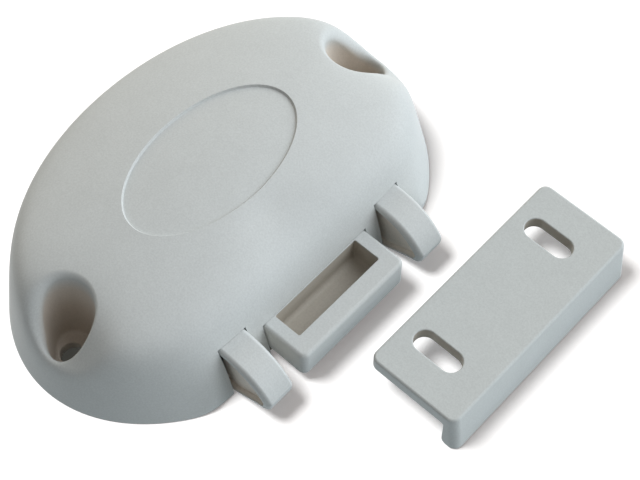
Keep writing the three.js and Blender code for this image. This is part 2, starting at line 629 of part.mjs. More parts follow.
const finishes = {
  moulding: { color: 0xd0d5d6, roughness: 0.55, metalness: 0 },
  keeper: { color: 0xb9c0c1, roughness: 0.55, metalness: 0 },
  inner: { color: 0xc4c8c8, roughness: 0.6, metalness: 0 },
  steel: { color: 0xa8abad, roughness: 0.35, metalness: 1 },
};

const lock = new THREE.Group();

function addPiece(name, solid, finish) {
  const { vertProperties, triVerts } = solid.getMesh();
  const geometry = new THREE.BufferGeometry();
  geometry.setAttribute('position', new THREE.BufferAttribute(new Float32Array(vertProperties), 3));
  geometry.setIndex(new THREE.BufferAttribute(new Uint32Array(triVerts), 1));
  geometry.computeVertexNormals();
  const piece = new THREE.Mesh(geometry, new THREE.MeshStandardMaterial(finishes[finish]));
  piece.name = name;
  lock.add(piece);
}

addPiece('casing', casing(), 'moulding');
addPiece('back_plate', backPlate(), 'inner');
bossPlaces.forEach(([x, y], i) => {
  const seat = SCREW_HEAD_HEIGHT + SEAT_GAP;
  addPiece(`back_plate_screw_${i + 1}`, screw(x, y, seat, BACK_SCREW_LENGTH, false), 'steel');
});
addPiece('guide_bridge', guideBridge(), 'inner');
bridgeScrewPlaces().forEach((x, i) => {
  const seat = BRIDGE_Z + BRIDGE_THICKNESS + SEAT_GAP;
  addPiece(`bridge_screw_${i + 1}`, screw(x, BRIDGE_Y, seat, seat - PLATE_THICKNESS, true), 'steel');
});
addPiece('push_button', pushButton(), 'moulding');
addPiece('draw_bar', drawBar(), 'inner');
barScrewPlaces().forEach((x, i) => {
  const seat = BAR_Z + BAR_THICKNESS + SEAT_GAP;
  addPiece(`draw_bar_screw_${i + 1}`, screw(x, BAR_Y, seat, seat - TAIL_TOP, true), 'steel');
});
addPiece('left_claw', claw(-CLAW_X), 'moulding');
addPiece('right_claw', claw(CLAW_X), 'moulding');
['left_claw', 'button', 'right_claw'].forEach((name, i) => {
  addPiece(`${name}_spring`, spring(springPlaces[i]), 'steel');
  addPiece(`${name}_spring_rod`, springRod(springPlaces[i]), 'steel');
});
addPiece('keeper', keeper(), 'keeper');

export default lock;
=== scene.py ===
"""Looks of a push-button lock: casing, claws, button and keeper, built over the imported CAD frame.

Shapes are worked out in millimetres, and each piece is scaled to metres when it is made.
The front of the lock, where the claws come out, faces -Y.
"""

import math

import bmesh
import bpy
from mathutils import Matrix, Vector


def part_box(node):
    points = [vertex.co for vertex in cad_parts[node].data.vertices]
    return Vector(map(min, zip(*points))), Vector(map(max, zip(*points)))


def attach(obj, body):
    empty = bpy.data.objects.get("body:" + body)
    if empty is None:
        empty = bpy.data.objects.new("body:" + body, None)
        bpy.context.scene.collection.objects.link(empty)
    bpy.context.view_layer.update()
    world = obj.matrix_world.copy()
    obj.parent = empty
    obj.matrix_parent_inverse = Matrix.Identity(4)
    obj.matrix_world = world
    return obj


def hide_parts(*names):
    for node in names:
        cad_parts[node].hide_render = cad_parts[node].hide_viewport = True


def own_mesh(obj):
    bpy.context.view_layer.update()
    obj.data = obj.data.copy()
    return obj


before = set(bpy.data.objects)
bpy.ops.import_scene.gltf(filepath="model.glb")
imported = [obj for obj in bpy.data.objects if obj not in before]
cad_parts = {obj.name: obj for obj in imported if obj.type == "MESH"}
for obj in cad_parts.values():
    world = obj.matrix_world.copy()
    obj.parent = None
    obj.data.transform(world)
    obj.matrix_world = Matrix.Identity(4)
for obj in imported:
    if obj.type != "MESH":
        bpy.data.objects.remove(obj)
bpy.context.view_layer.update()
scene = bpy.context.scene

MM = 0.001


def node_box(node):
    """Lowest and highest corner of a CAD node, in millimetres."""
    low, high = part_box(node)
    return low / MM, high / MM


# Casing
CASING_LOW, CASING_HIGH = node_box("casing")
HALF_LENGTH = CASING_HIGH.x
FRONT_Y = CASING_LOW.y
BACK_Y = CASING_HIGH.y
CREST = 26.3
CASING_WALL = 2.0
OUTLINE_HALF_DEPTH = 37.2
OUTLINE_Y = BACK_Y - OUTLINE_HALF_DEPTH
OUTLINE_CORNER = 40  # exponent: higher is a sharper front corner
END_STEEPNESS = 5.4  # rise of the wall per mm inward
BACK_STEEPNESS = 7.3
CORNER_STEEPNESS = 1.7  # towards the front corners
FRONT_STEEPNESS = 4.8  # of the straight front wall
STEEPNESS_TURN = 1.5  # exponent of the change from the ends to the front and back
CROWN_SHARE = 0.4  # share of the outline over which the walls pull the crown down less and less
SHOULDER_SHARPNESS = 4  # exponent: higher is a tighter shoulder
END_DROP = 5.8  # fall of the crown from the crest to the edge
FRONT_DROP = 7.1
BACK_DROP = 6.9
OVAL_HALF_LENGTH = 22.0
OVAL_HALF_WIDTH = 12.3
OVAL_Y = 1.1
OVAL_DEPTH = 0.6
OVAL_EDGE = 0.35  # width of the oval's sloping edge

# Screw wells and the dips of the crown towards them
WELL_X = 43.6
WELL_RADIUS = 5.3  # at the floor
WELL_DRAFT = 0.09  # growth of the radius per mm of height
WELL_FLOOR = 2.5
WELL_HOLE_RADIUS = 2.5
WELL_FLOOR_ROUNDING = 0.7
WELL_HOLE_ROUNDING = 0.25
RIM_ROUNDING = 1.3
RIM_ROUNDING_OUTWARD = 0.45  # more towards the end of the casing, and less away from it
RIM_ROUNDING_BACK = 0.5
RIM_ROUNDING_CORNER = 2.2  # more between the end and the back
WELL_NARROWING = 2.0  # of the radius, in the same corner
WELL_WALL = 0.45  # where a well comes close to the outside
WELL_WALL_START = 1.6  # well radii from its middle at which the wall grows thicker
COLLAR_WIDTH = 0.5  # strip of dome that is laid round a well
COLLAR_GAP = 0.25
PAINTED_SHADE_START = 1.0  # depth at which the painted warm shade of a well starts
PAINTED_SHADE_DEPTH = 4.0  # and over which it comes in
SCOOP_FLOOR = 9.9  # the crown dips to this height outside the wells
SCOOP_START = 47.3  # distance from the middle at which it starts to rise inward
SCOOP_RISE = 2.0  # per mm inward
SCOOP_SOFTNESS = 3.0  # mm over which that rise begins
SCOOP_SHIFT = 4.0  # of its lowest line, towards the front
SCOOP_BOW = 20.0  # mm of squared distance to that line per mm of rise
SCOOP_SHARPNESS = 6

# Openings in the front wall
CLAW_NOTCH_GAP = 0.15
BUTTON_NOTCH_GAP = 0.2
NOTCH_BACK_Y = FRONT_Y + 12.0

# Claws
CLAW_LOW, CLAW_HIGH = node_box("right_claw")
CLAW_X = (CLAW_LOW.x + CLAW_HIGH.x) / 2
CLAW_EAR = 1.5
CLAW_WIDTH = CLAW_HIGH.x - CLAW_LOW.x - 2 * CLAW_EAR
CLAW_REACH = 9.9
CLAW_ROOT_TOP = 14.0
CLAW_ROOT_FRONT = 2.6  # where the ramp starts, behind the front edge
CLAW_ROOT_BACK = 4.0  # where the beak ends in the root
CLAW_TIP_TOP = 7.4
CLAW_TIP_BOTTOM = 4.0
CLAW_TIP_SETBACK = 1.8  # of the lower edge of the tip
CLAW_ROOT_BOTTOM = 0.8
CLAW_BEND = 0.6  # where the ramp bends most, as a share of the reach
CLAW_RAMP_RIM = 1.35  # rim round the hollow in each side
CLAW_TIP_RIM = 1.7
CLAW_LOW_RIM = 0.7
CLAW_RIM_ROUNDED = 0.85  # share of the rim that is rounded
CLAW_EDGE = 1.0
# Way into the hollow: share of the rim that is crossed, depth, share of the painted warm shade
CLAW_HOLLOW = ((0.97, 0.0, 0.0), (1.0, 0.08, 0.5), (1.05, 0.6, 1.0), (1.15, 1.2, 1.0))

# Push button
BUTTON_LOW, BUTTON_HIGH = node_box("push_button")
BUTTON_HALF = 15.4
BUTTON_FRONT_Y = BUTTON_LOW.y
BUTTON_BACK_Y = FRONT_Y + 6.0
BUTTON_BOTTOM = BUTTON_LOW.z
BUTTON_TOP = BUTTON_HIGH.z
BUTTON_CORNER = 1.6
BUTTON_EDGE = 0.9
POCKET_HALF = 12.1
POCKET_FRONT_Y = FRONT_Y - 4.5
POCKET_BACK_Y = FRONT_Y + 2.2
POCKET_FLOOR = 4.0
POCKET_EDGE = 0.15
POCKET_CORNER = 0.4
POCKET_FILLET = 1.2
POCKET_LIGHT = 0.5  # top part of the pocket's walls that is left without painted shade, in the colour of the button
TONGUE_HALF = 8.0

# Slide pieces behind the front wall
SLIDE_Z = 2.3
SHANK_TOP = 8.3
TAIL_TOP = 6.3
TAIL_Y = FRONT_Y + 30.0
EAR_TOP = 7.0
EAR_FRONT_Y = FRONT_Y + 4.0
EAR_BACK_Y = FRONT_Y + 6.0
PAD_FRONT_Y = FRONT_Y + 11.5
PAD_BACK_Y = FRONT_Y + 15.7
LUG_FRONT_Y = FRONT_Y + 16.0
LUG_BACK_Y = FRONT_Y + 18.0
LUG_TOP = 11.0
HIDDEN_EDGE = 0.3

# Springs
SPRING_RADIUS = 1.65
SPRING_WIRE = 0.3  # radius
SPRING_CURLS = 7

# Keeper
KEEPER_LOW, KEEPER_HIGH = node_box("keeper")
KEEPER_PLATE = 3.4
KEEPER_LIP = 4.0
KEEPER_LEAN = 1.4  # of the lip, from foot to top
KEEPER_CORNER = 2.0
KEEPER_EDGE = 0.6
KEEPER_LIP_ROUNDING = 1.6
KEEPER_FILLET = 0.7
SLOT_SPACING = 35.4
SLOT_SETBACK = 9.2  # from the near edge to the middle of the slots
SLOT_WIDTH = 5.0
SLOT_LENGTH = 11.6
SLOT_EDGE = 0.3

# Screws
SCREW_HEAD = 1.0
SCREW_CROWN = 0.35
SCREW_FLAT = 0.55  # share of the head's radius that is flat
SCREW_CENTRE = 0.001
SCREW_HEAD_EDGE = 0.1
SCREW_SHANK_RADIUS = 1.0
SCREW_CORE_RADIUS = 0.72
SCREW_PITCH = 0.6
SCREW_THREAD = 1.5  # exponent: higher is a sharper thread
SCREW_POINT = 1.2
SCREW_TIP = 0.15  # share of the radius that is left at the tip
CROSS_LENGTH = 2.4
CROSS_WIDTH = 0.5
CROSS_DEPTH = 0.7

# Edges of the CAD pieces that are shown as they are
PLATE_EDGE = 0.2
ROD_EDGE = 0.12

# Fineness of the meshes
SECTORS = 320
SECTOR_CROWDING = 0.4
OVAL_RINGS = 14
OVAL_EDGE_RINGS = 6
CROWN_RINGS = 72
RING_CROWDING = 1.7
WELL_SIDES = 128
ROUND_STEPS = 10
WALL_STEPS = 10
CORNER_STEPS = 10
RIM_PASSES = 4
WIRE_SIDES = 12
CURL_STEPS = 32
SCREW_SIDES = 48
SLOPE_STEP = 0.02
SHARP_ANGLE = math.radians(35)
SMOOTH_COSINE = math.cos(SHARP_ANGLE)
FACING = 0.5  # cosine of the angle within which a face lies along the dome

# Tolerances and overlaps
SAME = 1e-4
WELD = 0.001
NEAR = 0.01
CENTRE = 1e-6
DOME_TOLERANCE = 0.004
PAST = 2.0  # how far cutting solids run past what they cut
LAP = 1.0  # how far joined solids run into each other


# Mesh tools
def smoothstep(t):
    return t * t * (3 - 2 * t)


def rounded_least(heights, sharpness):
    """The lowest of several heights, with a rounded change from one to the next."""
    if min(heights) <= 0:
        return 0.0
    return sum(height**-sharpness for height in heights) ** (-1 / sharpness)


def skin_between(bm, outer, inner):
    """Quads between two closed rings of vertices that run anticlockwise seen from above."""
    for k, vert in enumerate(outer):
        nxt = (k + 1) % len(outer)
        bm.faces.new((vert, outer[nxt], inner[nxt], inner[k]))


def prism(points, low, high):
    """A solid with the outline points (x, y), from the height low to the height high."""
    bm = bmesh.new()
    foot = [bm.verts.new((x, y, low)) for x, y in points]
    top = [bm.verts.new((x, y, high)) for x, y in points]
    bm.faces.new(top)
    bm.faces.new(reversed(foot))
    skin_between(bm, foot, top)
    bmesh.ops.recalc_face_normals(bm, faces=bm.faces)
    return bm


def skin_rings(bm, rings):
    """Makes a solid from a row of rings, with a face at each end."""
    for first, second in zip(rings, rings[1:]):
        skin_between(bm, first, second)
    bm.faces.new(rings[0])
    bm.faces.new(reversed(rings[-1]))
    bmesh.ops.recalc_face_normals(bm, faces=bm.faces)


def block(x0, x1, y0, y1, z0, z1):
    return prism([(x0, y0), (x1, y0), (x1, y1), (x0, y1)], z0, z1)


def side_profile(points, x0, x1):
    """A solid with the outline points (distance ahead of the front edge, height), from x0 to x1."""
    bm = prism(points, x0, x1)
    turn = Matrix(((0, 0, 1, 0), (-1, 0, 0, FRONT_Y), (0, 1, 0, 0), (0, 0, 0, 1)))
    bmesh.ops.transform(bm, matrix=turn, verts=bm.verts)
    bmesh.ops.recalc_face_normals(bm, faces=bm.faces)
    return bm


def rounded_rectangle(x0, x1, y0, y1, radius):
    corners = [(x1, y0, -90), (x1, y1, 0), (x0, y1, 90), (x0, y0, 180)]
    points = []
    for x, y, start in corners:
        middle_x = x - radius if x == x1 else x + radius
        middle_y = y + radius if y == y0 else y - radius
        for step in range(CORNER_STEPS + 1):
            angle = math.radians(start + 90 * step / CORNER_STEPS)
            reach_x = radius * math.cos(angle)
            points.append((middle_x + reach_x, middle_y + radius * math.sin(angle)))
    return points


def curve_points(start, bend, end):
    """Points, after its start, of a curve that leaves towards bend and comes to end from there."""
    points = []
    for step in range(1, CORNER_STEPS + 1):
        t = step / CORNER_STEPS
        shares = ((1 - t) ** 2, 2 * t * (1 - t), t * t)
        ways = zip(start, bend, end)
        points.append(tuple(sum(s * p for s, p in zip(shares, way)) for way in ways))
    return points


def sharp_edges(bm):
    bm.normal_update()
    return [e for e in bm.edges if len(e.link_faces) == 2 and e.calc_face_angle() > SHARP_ANGLE]


def soften(bm, edges, width, steps):
    """Rounds edges over a width, in a number of steps."""
    bmesh.ops.bevel(
        bm,
        geom=edges,
        offset=width,
        segments=steps,
        profile=0.5,
        affect="EDGES",
        clamp_overlap=True,
    )


def add_solid(bm, extra):
    """Puts another solid into the same mesh."""
    mesh = bpy.data.meshes.new("extra")
    extra.to_mesh(mesh)
    extra.free()
    bm.from_mesh(mesh)
    bpy.data.meshes.remove(mesh)


def add_slides(bm, *slides):
    """Puts plain blocks, which work behind the front wall, into the same mesh."""
    for slide in slides:
        soften(slide, slide.edges[:], HIDDEN_EDGE, steps=2)
        add_solid(bm, slide)


def mesh_object(name, bm):
    mesh = bpy.data.meshes.new(name)
    bm.to_mesh(mesh)
    bm.free()
    made = bpy.data.objects.new(name, mesh)
    scene.collection.objects.link(made)
    return made


def cut(bm, *cutters):
    """The solid with the cutting solids taken out of it."""
    body = mesh_object("body", bm)
    tools = [mesh_object("cutter", cutter) for cutter in cutters]
    for tool in tools:
        modifier = body.modifiers.new("cut", "BOOLEAN")
        modifier.operation = "DIFFERENCE"
        modifier.solver = "EXACT"
        modifier.object = tool
    graph = bpy.context.evaluated_depsgraph_get()
    shaped = bpy.data.meshes.new_from_object(body.evaluated_get(graph))
    result = bmesh.new()
    result.from_mesh(shaped)
    bpy.data.meshes.remove(shaped)
    for made in (body, *tools):
        mesh = made.data
        bpy.data.objects.remove(made)
        bpy.data.meshes.remove(mesh)
    return result


def shade_by_area(mesh):
    """Lets large faces lead the shading at their rounded edges, so that flat faces look flat."""
    around = [[] for _ in mesh.vertices]
    for face in mesh.polygons:
        for vert in face.vertices:
            around[vert].append(face)
    normals = [None] * len(mesh.loops)
    for face in mesh.polygons:
        for corner, vert in zip(face.loop_indices, face.vertices):
            total = Vector()
            for other in around[vert]:
                if other.normal.dot(face.normal) > SMOOTH_COSINE:
                    total += other.area * other.normal
            normals[corner] = total.normalized()
    mesh.normals_split_custom_set(normals)


def place(name, bm, material, body, nodes):
    """Makes a piece from a mesh in millimetres. It stands for the nodes and rides on the body."""
    made = mesh_object(name, bm)
    made.data.transform(Matrix.Scale(MM, 4))
    made.data.shade_smooth()
    made.data.set_sharp_from_angle(angle=SHARP_ANGLE)
    shade_by_area(made.data)
    made.data.materials.append(material)
    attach(made, body)
    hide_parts(*nodes)
    return made


# Finishes
def shader_group(name, inputs, outputs):
    """An empty shader node group with named sockets, and its two end nodes."""
    tree = bpy.data.node_groups.new(name, "ShaderNodeTree")
    for socket, kind, value in inputs:
        made = tree.interface.new_socket(socket, in_out="INPUT", socket_type=kind)
        made.default_value = value
    for socket, kind in outputs:
        tree.interface.new_socket(socket, in_out="OUTPUT", socket_type=kind)
    return tree, tree.nodes.new("NodeGroupInput"), tree.nodes.new("NodeGroupOutput")


def feed(tree, socket, value):
    """Links the output of another node to a socket, or sets a plain value on it."""
    if isinstance(value, bpy.types.NodeSocket):
        tree.links.new(value, socket)
    else:
        socket.default_value = value


def noise(tree, scale, detail, coordinates):
    node = tree.nodes.new("ShaderNodeTexNoise")
    node.inputs["Detail"].default_value = detail
    node.inputs["Scale"].default_value = scale
    tree.links.new(coordinates, node.inputs["Vector"])
    return node.outputs["Fac"]


NOISE_LOW = 0.3
NOISE_HIGH = 0.7


def spread(tree, value, low, high):
    """The middle part of a noise, spread from low to high."""
    node = tree.nodes.new("ShaderNodeMapRange")
    node.inputs["From Min"].default_value = NOISE_LOW
    node.inputs["From Max"].default_value = NOISE_HIGH
    feed(tree, node.inputs["To Min"], low)
    feed(tree, node.inputs["To Max"], high)
    tree.links.new(value, node.inputs["Value"])
    return node.outputs["Result"]


def calculate(tree, operation, first, second):
    node = tree.nodes.new("ShaderNodeMath")
    node.operation = operation
    feed(tree, node.inputs[0], first)
    feed(tree, node.inputs[1], second)
    return node.outputs["Value"]


def mix_colour(tree, share, first, second, blend="MIX"):
    node = tree.nodes.new("ShaderNodeMix")
    node.data_type = "RGBA"
    node.blend_type = blend
    for name, value in (("Factor_Float", share), ("A_Color", first), ("B_Color", second)):
        feed(tree, next(s for s in node.inputs if s.identifier == name), value)
    return next(s for s in node.outputs if s.identifier == "Result_Color")


GRAIN_SCALE = 2600.0
GRAIN_ROUGHNESS = (-0.04, 0.06)
MOTTLE_SCALE = 160.0
MOTTLE_DARKEST = 0.97
LINES_SCALE = 4000.0
LINES_STRETCH = (1.0, 0.05, 1.0)
LINES_DARKEST = 0.9
BLOOM_SCALE = 500.0
BLOOM_DARKEST = 0.85
BLOOM_ROUGHNESS = (-0.05, 0.15)
BUMP_HEIGHT = 0.00005
SHEEN_PLASTIC = 0.3
SHEEN_METAL = 0.5


def grain_and_painted_shade():
    """Fine spark-eroded grain of moulded plastic: colour, roughness and height that vary, with a
    painted warm shade mixed into the colour where the mesh's painted-shade mask is set.
    """
    tree, start, end = shader_group(
        "grain_and_painted_shade",
        [
            ("Colour", "NodeSocketColor", (0.6, 0.6, 0.6, 1)),
            ("Painted Shade Colour", "NodeSocketColor", (0.3, 0.25, 0.2, 1)),
            ("Speckle", "NodeSocketFloat", 0.06),
            ("Roughness", "NodeSocketFloat", 0.5),
        ],
        [
            ("Colour", "NodeSocketColor"),
            ("Roughness", "NodeSocketFloat"),
            ("Height", "NodeSocketFloat"),
        ],
    )
    place_on_object = tree.nodes.new("ShaderNodeTexCoord").outputs["Object"]
    grain = noise(tree, GRAIN_SCALE, 2.0, place_on_object)
    mottle = noise(tree, MOTTLE_SCALE, 3.0, place_on_object)
    # Mask of painted warm shade in hollows, set on the meshes
    painted_shade = tree.nodes.new("ShaderNodeAttribute")
    painted_shade.attribute_name = "painted_shade"
    darkest = calculate(tree, "SUBTRACT", 1.0, start.outputs["Speckle"])
    speckle = spread(tree, grain, darkest, 1.0)
    patches = spread(tree, mottle, MOTTLE_DARKEST, 1.0)
    shade = calculate(tree, "MULTIPLY", speckle, patches)
    plain = start.outputs["Colour"]
    base = mix_colour(tree, painted_shade.outputs["Fac"], plain, start.outputs["Painted Shade Colour"])
    tree.links.new(mix_colour(tree, 1.0, base, shade, "MULTIPLY"), end.inputs["Colour"])
    varied = spread(tree, grain, *GRAIN_ROUGHNESS)
    rough = calculate(tree, "ADD", start.outputs["Roughness"], varied)
    tree.links.new(rough, end.inputs["Roughness"])
    tree.links.new(grain, end.inputs["Height"])
    return tree


def brushed_metal():
    """Drawn and plated steel: fine lines along the piece and a dull bloom."""
    tree, start, end = shader_group(
        "brushed_metal",
        [("Colour", "NodeSocketColor", (0.5, 0.5, 0.5, 1)), ("Roughness", "NodeSocketFloat", 0.3)],
        [
            ("Colour", "NodeSocketColor"),
            ("Roughness", "NodeSocketFloat"),
            ("Height", "NodeSocketFloat"),
        ],
    )
    place_on_object = tree.nodes.new("ShaderNodeTexCoord").outputs["Object"]
    stretch = tree.nodes.new("ShaderNodeMapping")
    stretch.inputs["Scale"].default_value = LINES_STRETCH
    tree.links.new(place_on_object, stretch.inputs["Vector"])
    lines = noise(tree, LINES_SCALE, 2.0, stretch.outputs["Vector"])
    bloom = noise(tree, BLOOM_SCALE, 3.0, place_on_object)
    streaks = spread(tree, lines, LINES_DARKEST, 1.0)
    shade = calculate(tree, "MULTIPLY", streaks, spread(tree, bloom, BLOOM_DARKEST, 1.0))
    colour = mix_colour(tree, 1.0, start.outputs["Colour"], shade, "MULTIPLY")
    tree.links.new(colour, end.inputs["Colour"])
    varied = spread(tree, bloom, *BLOOM_ROUGHNESS)
    rough = calculate(tree, "ADD", start.outputs["Roughness"], varied)
    tree.links.new(rough, end.inputs["Roughness"])
    tree.links.new(lines, end.inputs["Height"])
    return tree


GRAIN_AND_PAINTED_SHADE = grain_and_painted_shade()
BRUSHED = brushed_metal()


def linear(red, green, blue):
    """An sRGB colour from 0 to 255 as Blender's linear colour."""
    shares = (value / 255 for value in (red, green, blue))
    return (*(s / 12.92 if s <= 0.04045 else ((s + 0.055) / 1.055) ** 2.4 for s in shares), 1.0)


def finish(name, group, values, bump, metallic=0.0):
    """A material whose surface comes from one of the groups, set with its own values."""
    material = bpy.data.materials.new(name)
    material.use_nodes = True
    tree = material.node_tree
    surface = tree.nodes["Principled BSDF"]
    surface.inputs["Metallic"].default_value = metallic
    surface.inputs["Specular IOR Level"].default_value = SHEEN_METAL if metallic else SHEEN_PLASTIC
    effect = tree.nodes.new("ShaderNodeGroup")
    effect.node_tree = group
    for socket, value in values.items():
        effect.inputs[socket].default_value = value
    relief = tree.nodes.new("ShaderNodeBump")
    relief.inputs["Strength"].default_value = bump
    relief.inputs["Distance"].default_value = BUMP_HEIGHT
    tree.links.new(effect.outputs["Colour"], surface.inputs["Base Color"])
    tree.links.new(effect.outputs["Roughness"], surface.inputs["Roughness"])
    tree.links.new(effect.outputs["Height"], relief.inputs["Height"])
    tree.links.new(relief.outputs["Normal"], surface.inputs["Normal"])
    return material


# A moulding whose second colour is painted warm shade in its hollows
def moulding(name, colour, painted_shade_colour, speckle=0.1, roughness=0.5, bump=0.35):
    values = {"Colour": colour, "Painted Shade Colour": painted_shade_colour}
    return finish(name, GRAIN_AND_PAINTED_SHADE, {**values, "Speckle": speckle, "Roughness": roughness}, bump)


PALE_GREY = linear(207, 211, 210)
KEEPER_GREY = linear(203, 208, 207)
INNER_GREY = linear(196, 200, 200)
ZINC = linear(190, 192, 194)
# Painted warm shade and bounce light for the hollows: wells, claw sides, button pocket and keeper
# slots
WELL_PAINTED_SHADE = linear(214, 205, 194)
CLAW_PAINTED_SHADE = linear(245, 237, 226)
POCKET_PAINTED_SHADE = linear(188, 182, 171)
MOULDING = moulding("pale_grey_moulding", PALE_GREY, WELL_PAINTED_SHADE)
CLAW_MOULDING = moulding("claw_moulding", PALE_GREY, CLAW_PAINTED_SHADE)
BUTTON_MOULDING = moulding("button_moulding", PALE_GREY, POCKET_PAINTED_SHADE)
KEEPER_MOULDING = moulding("keeper_moulding", KEEPER_GREY, POCKET_PAINTED_SHADE)
INNER_MOULDING = moulding(
    "inner_moulding", INNER_GREY, POCKET_PAINTED_SHADE, speckle=0.05, roughness=0.55, bump=0.25
)
STEEL = finish("plated_steel", BRUSHED, {"Colour": ZINC, "Roughness": 0.28}, bump=0.2, metallic=1.0)


# Casing
def outline_point(angle):
    dx = math.cos(angle)
    dy = math.sin(angle)
    ellipse = math.hypot(dx / HALF_LENGTH, dy / OUTLINE_HALF_DEPTH)
    front = max(0.0, -dy) / (OUTLINE_Y - FRONT_Y)
    reach = (ellipse**OUTLINE_CORNER + front**OUTLINE_CORNER) ** (-1 / OUTLINE_CORNER)
    return Vector((dx * reach, OUTLINE_Y + dy * reach))


def oval_point(angle, grow):
    half_length = OVAL_HALF_LENGTH + grow
    half_width = OVAL_HALF_WIDTH + grow
    return Vector((half_length * math.cos(angle), OVAL_Y + half_width * math.sin(angle)))


def dome_height(x, y):
    """Height of the dome: crown, leaning walls and dips at the wells, with round shoulders."""
    across = x / HALF_LENGTH
    along = (y - OUTLINE_Y) / OUTLINE_HALF_DEPTH
    share = max(math.hypot(across, along), CENTRE)
    turn = (abs(along) / share) ** STEEPNESS_TURN
    far = BACK_STEEPNESS if along > 0 else CORNER_STEEPNESS
    steepness = END_STEEPNESS + (far - END_STEEPNESS) * turn
    pull = smoothstep(min(1.0, share / CROWN_SHARE))
    side = steepness * math.hypot(x, y - OUTLINE_Y) * (1 / share - 1) / pull
    front = FRONT_STEEPNESS * (y - FRONT_Y)
    length = OVAL_Y - FRONT_Y if y < OVAL_Y else BACK_Y - OVAL_Y
    drop = FRONT_DROP if y < OVAL_Y else BACK_DROP
    crown = CREST - END_DROP * across**2 - drop * ((y - OVAL_Y) / length) ** 2
    inward = SCOOP_START - abs(x)
    rise = SCOOP_RISE * (inward + math.hypot(inward, SCOOP_SOFTNESS)) / 2
    scoop = SCOOP_FLOOR + rise + (y + SCOOP_SHIFT) ** 2 / SCOOP_BOW
    shoulder = rounded_least((side, front, crown), SHOULDER_SHARPNESS)
    return rounded_least((shoulder, scoop), SCOOP_SHARPNESS)


def dome_grid(bm):
    """The whole dome, as rings that run from the middle of the shallow oval to the outline."""
    angles = []
    for sector in range(SECTORS):
        even = 2 * math.pi * sector / SECTORS
        angles.append(even - SECTOR_CROWDING * math.sin(2 * even) / 2)

    def ring(point_at, sunk, foot=False):
        verts = []
        for angle in angles:
            point = point_at(angle)
            height = 0.0 if foot else dome_height(point.x, point.y) - sunk
            verts.append(bm.verts.new((point.x, point.y, height)))
        return verts

    centre = Vector((0, OVAL_Y))
    half_edge = OVAL_EDGE / 2
    rings = []
    for step in range(1, OVAL_RINGS):
        share = step / OVAL_RINGS

        def floor_point(angle):
            return centre.lerp(oval_point(angle, -half_edge), share)

        rings.append(ring(floor_point, OVAL_DEPTH))
    for step in range(OVAL_EDGE_RINGS + 1):
        share = step / OVAL_EDGE_RINGS
        sunk = OVAL_DEPTH * (1 - smoothstep(share))
        rings.append(ring(lambda angle: oval_point(angle, OVAL_EDGE * (share - 0.5)), sunk))
    for step in range(1, CROWN_RINGS + 1):
        share = 1 - (1 - step / CROWN_RINGS) ** RING_CROWDING

        def crown_point(angle):
            return oval_point(angle, half_edge).lerp(outline_point(angle), share)

        rings.append(ring(crown_point, 0.0, foot=step == CROWN_RINGS))
    middle = bm.verts.new((0, OVAL_Y, dome_height(0, OVAL_Y) - OVAL_DEPTH))
    for k, vert in enumerate(rings[0]):
        bm.faces.new((middle, vert, rings[0][(k + 1) % SECTORS]))
    for inner, outer in zip(rings, rings[1:]):
        skin_between(bm, outer, inner)


def rim_of_well(x, angle):
    """Radius of a well's wall in one direction, at foot and top, and the rounding of its rim."""
    outward = math.cos(angle) if x > 0 else -math.cos(angle)
    back = math.sin(angle)
    corner = max(0.0, outward + back) ** 2 / 2
    rounding = RIM_ROUNDING + RIM_ROUNDING_OUTWARD * outward + RIM_ROUNDING_BACK * back
    rounding += RIM_ROUNDING_CORNER * corner
    foot = WELL_RADIUS - WELL_NARROWING * corner
    top = foot
    for _ in range(RIM_PASSES):
        rim = dome_height(x + top * math.cos(angle), top * back)
        top = foot + WELL_DRAFT * (rim - rounding - WELL_FLOOR)
    return foot, top, rounding


def well_profile(x, angle):
    """Points of a well in one direction, from the dome to the hole.

    Each has a radius, a height, and its depth below the dome, or below the rim inside it.
    """

    def dome(radius):
        return dome_height(x + radius * math.cos(angle), radius * math.sin(angle))

    foot, top, rounding = rim_of_well(x, angle)
    rim = dome(top)
    points = []
    for step in range(ROUND_STEPS // 2):
        radius = top + rounding + COLLAR_WIDTH * (1 - 2 * step / ROUND_STEPS)
        points.append((radius, dome(radius)))
    for step in range(ROUND_STEPS + 1):
        turn = math.pi / 2 * step / ROUND_STEPS
        radius = top + rounding * (1 - math.sin(turn))
        points.append((radius, dome(radius) - rounding * (1 - math.cos(turn))))
    wall_top = rim - rounding
    wall_foot = WELL_FLOOR + WELL_FLOOR_ROUNDING
    few = ROUND_STEPS // 2
    for step in range(1, WALL_STEPS + 1):
        height = wall_top + (wall_foot - wall_top) * step / WALL_STEPS
        points.append((foot + WELL_DRAFT * (height - WELL_FLOOR), height))
    for step in range(1, few + 1):
        turn = math.pi / 2 * step / few
        radius = foot - WELL_FLOOR_ROUNDING * (1 - math.cos(turn))
        points.append((radius, wall_foot - WELL_FLOOR_ROUNDING * math.sin(turn)))
    for step in range(few + 1):
        turn = math.pi / 2 * step / few
        radius = WELL_HOLE_RADIUS + WELL_HOLE_ROUNDING * (1 - math.sin(turn))
        points.append((radius, WELL_FLOOR - WELL_HOLE_ROUNDING * (1 - math.cos(turn))))
    points.append((WELL_HOLE_RADIUS, 0.0))
    return [(radius, height, dome(max(radius, top)) - height) for radius, height in points]


